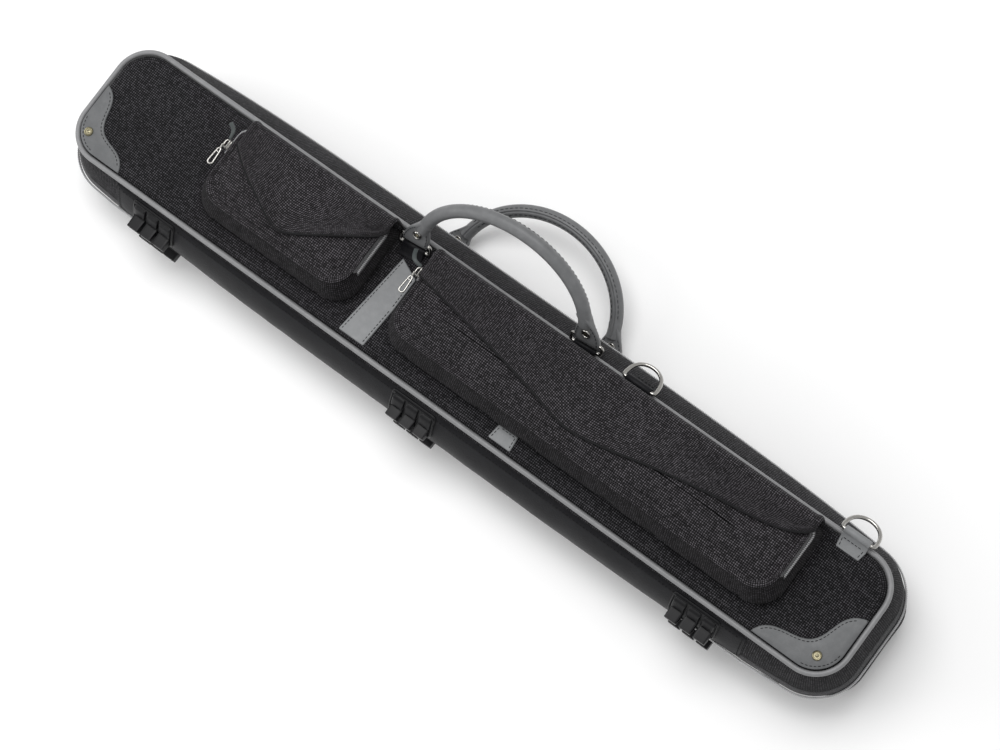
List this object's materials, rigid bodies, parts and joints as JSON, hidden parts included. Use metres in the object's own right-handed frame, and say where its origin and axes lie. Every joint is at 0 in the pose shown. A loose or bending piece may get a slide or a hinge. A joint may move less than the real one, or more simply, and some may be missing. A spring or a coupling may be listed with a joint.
{
  "type": "cue case",
  "caption": "Long padded soft case for a two-piece cue, with a lid on a fold, outside pockets under flaps, carrying handles, strap rings and moulded feet.",
  "frame": {"origin": "centre of the back panel's outer face, on which the case lies", "axes": "+X along the case's length, +Y towards the handles, -Y towards the feet and the lid's fold, +Z out of the front panel with the pockets"},
  "size_m": [0.8384, 0.2308, 0.1803],
  "materials": {
    "woven_fabric": "black basket-weave nylon",
    "pocket_fabric": "black basket-weave nylon, lighter by its sheen",
    "smooth_panel": "smooth black vinyl",
    "piping": "grey vinyl over a cord, satin",
    "grey_leather": "mid grey leather, fine grain, dark stitching",
    "handle_leather": "dark grey leather, fine grain, satin",
    "lining": "black brushed lining over foam",
    "zip": "grey woven tape with a nylon coil",
    "nickel": "polished nickel plate",
    "foot_plastic": "black moulded plastic, semi-gloss"
  },
  "bodies": {
    "base": {"rear_shell": "woven_fabric", "rear_piping": "piping", "rear_zip_row": "zip", "rear_fold_panel": "smooth_panel", "rear_foot_left": "foot_plastic", "rear_foot_middle": "foot_plastic", "rear_foot_right": "foot_plastic", "cue_tray": "lining", "rear_handle_loop_left": "smooth_panel", "rear_handle_loop_right": "smooth_panel"},
    "lid": {"front_shell": "woven_fabric", "front_piping": "piping", "front_zip_row": "zip", "front_fold_panel": "smooth_panel", "front_foot_left": "foot_plastic", "front_foot_middle": "foot_plastic", "front_foot_right": "foot_plastic", "lid_pad": "lining", "corner_patch_left": "grey_leather", "corner_patch_right": "grey_leather", "patch_rivet_left": "nickel", "patch_rivet_right": "nickel", "leather_band": "grey_leather", "small_leather_tab": "grey_leather", "small_pocket": "pocket_fabric", "large_pocket": "pocket_fabric", "small_pocket_zip": "zip", "large_pocket_zip": "zip", "front_handle_loop_left": "smooth_panel", "front_handle_loop_right": "smooth_panel", "middle_strap_ring_loop": "smooth_panel", "end_strap_ring_loop": "grey_leather"},
    "small_flap": {"small_flap": "pocket_fabric"},
    "large_flap": {"large_flap": "pocket_fabric"},
    "front_handle": {"front_handle": "handle_leather", "front_handle_ring_left": "nickel", "front_handle_ring_right": "nickel", "front_handle_rivet_left": "nickel", "front_handle_rivet_right": "nickel"},
    "rear_handle": {"rear_handle": "handle_leather", "rear_handle_ring_left": "nickel", "rear_handle_ring_right": "nickel", "rear_handle_rivet_left": "nickel", "rear_handle_rivet_right": "nickel"},
    "middle_strap_ring": {"middle_strap_ring": "nickel"},
    "end_strap_ring": {"end_strap_ring": "nickel"},
    "small_pocket_slider": {"small_pocket_slider": "nickel", "small_pocket_tail": "grey_leather"},
    "small_pocket_pull": {"small_pocket_pull": "nickel"},
    "large_pocket_slider": {"large_pocket_slider": "nickel", "large_pocket_tail": "grey_leather"},
    "large_pocket_pull": {"large_pocket_pull": "nickel"},
    "main_upper_slider": {"main_upper_slider": "nickel"},
    "main_upper_pull": {"main_upper_pull": "nickel"},
    "main_lower_slider": {"main_lower_slider": "nickel"},
    "main_lower_pull": {"main_lower_pull": "nickel"},
    "small_flap_root": {"small_flap_root": "pocket_fabric"},
    "large_flap_root": {"large_flap_root": "pocket_fabric"}
  },
  "joints": [
    {"name": "lid_hinge", "type": "hinge", "parent": "base", "child": "lid", "pos_m": [0, -0.0775, 0.048], "axis": [1, 0, 0], "range_deg": [0, 110]},
    {"name": "small_flap_seam", "type": "hinge", "parent": "lid", "child": "small_flap_root", "pos_m": [0, 0.0512, 0.0985], "axis": [-1, 0, 0], "range_deg": [0, 30]},
    {"name": "small_flap_crease", "type": "hinge", "parent": "small_flap_root", "child": "small_flap", "pos_m": [0, 0.045, 0.1288], "axis": [-1, 0, 0], "range_deg": [0, 100]},
    {"name": "large_flap_seam", "type": "hinge", "parent": "lid", "child": "large_flap_root", "pos_m": [0, 0.0512, 0.0985], "axis": [-1, 0, 0], "range_deg": [0, 12]},
    {"name": "large_flap_crease", "type": "hinge", "parent": "large_flap_root", "child": "large_flap", "pos_m": [0, 0.045, 0.1328], "axis": [-1, 0, 0], "range_deg": [0, 100]},
    {"name": "front_handle_pivot", "type": "hinge", "parent": "lid", "child": "front_handle", "pos_m": [-0.002, 0.051, 0.1008], "axis": [-0.9968, -0.0802, 0], "range_deg": [-29, 60]},
    {"name": "rear_handle_pivot", "type": "hinge", "parent": "base", "child": "rear_handle", "pos_m": [-0.0025, 0.064, 0.0078], "axis": [1, 0, 0], "range_deg": [-110, 7]},
    {"name": "middle_strap_ring_pivot", "type": "hinge", "parent": "lid", "child": "middle_strap_ring", "pos_m": [0.138, 0.0575, 0.1008], "axis": [-1, 0, 0], "range_deg": [-115, 25]},
    {"name": "end_strap_ring_pivot", "type": "hinge", "parent": "lid", "child": "end_strap_ring", "pos_m": [0.356, 0.0585, 0.101], "axis": [-1, 0, 0], "range_deg": [-165, 25]},
    {"name": "small_pocket_zip_slide", "type": "slide", "parent": "lid", "child": "small_pocket_slider", "axis": [0, 1, 0], "range_m": [-0.006, 0.01]},
    {"name": "small_pocket_pull_pivot", "type": "hinge", "parent": "small_pocket_slider", "child": "small_pocket_pull", "pos_m": [-0.27163, 0.016, 0.12381], "axis": [-1, 0, 0], "range_deg": [0, 120]},
    {"name": "large_pocket_zip_slide", "type": "slide", "parent": "lid", "child": "large_pocket_slider", "axis": [0, 1, 0], "range_m": [-0.006, 0.01]},
    {"name": "large_pocket_pull_pivot", "type": "hinge", "parent": "large_pocket_slider", "child": "large_pocket_pull", "pos_m": [-0.06575, 0.021, 0.12645], "axis": [-1, 0, 0], "range_deg": [0, 120]},
    {"name": "main_upper_zip_slide", "type": "slide", "parent": "base", "child": "main_upper_slider", "axis": [0, 1, 0], "range_m": [0, 0.01]},
    {"name": "main_upper_pull_pivot", "type": "hinge", "parent": "main_upper_slider", "child": "main_upper_pull", "pos_m": [-0.4196, 0.0072, 0.048], "axis": [0, 0, 1], "range_deg": [0, 85]},
    {"name": "main_lower_zip_slide", "type": "slide", "parent": "base", "child": "main_lower_slider", "axis": [0, -1, 0], "range_m": [0, 0.01]},
    {"name": "main_lower_pull_pivot", "type": "hinge", "parent": "main_lower_slider", "child": "main_lower_pull", "pos_m": [-0.4196, -0.0072, 0.048], "axis": [0, 0, -1], "range_deg": [0, 85]}
  ]
}
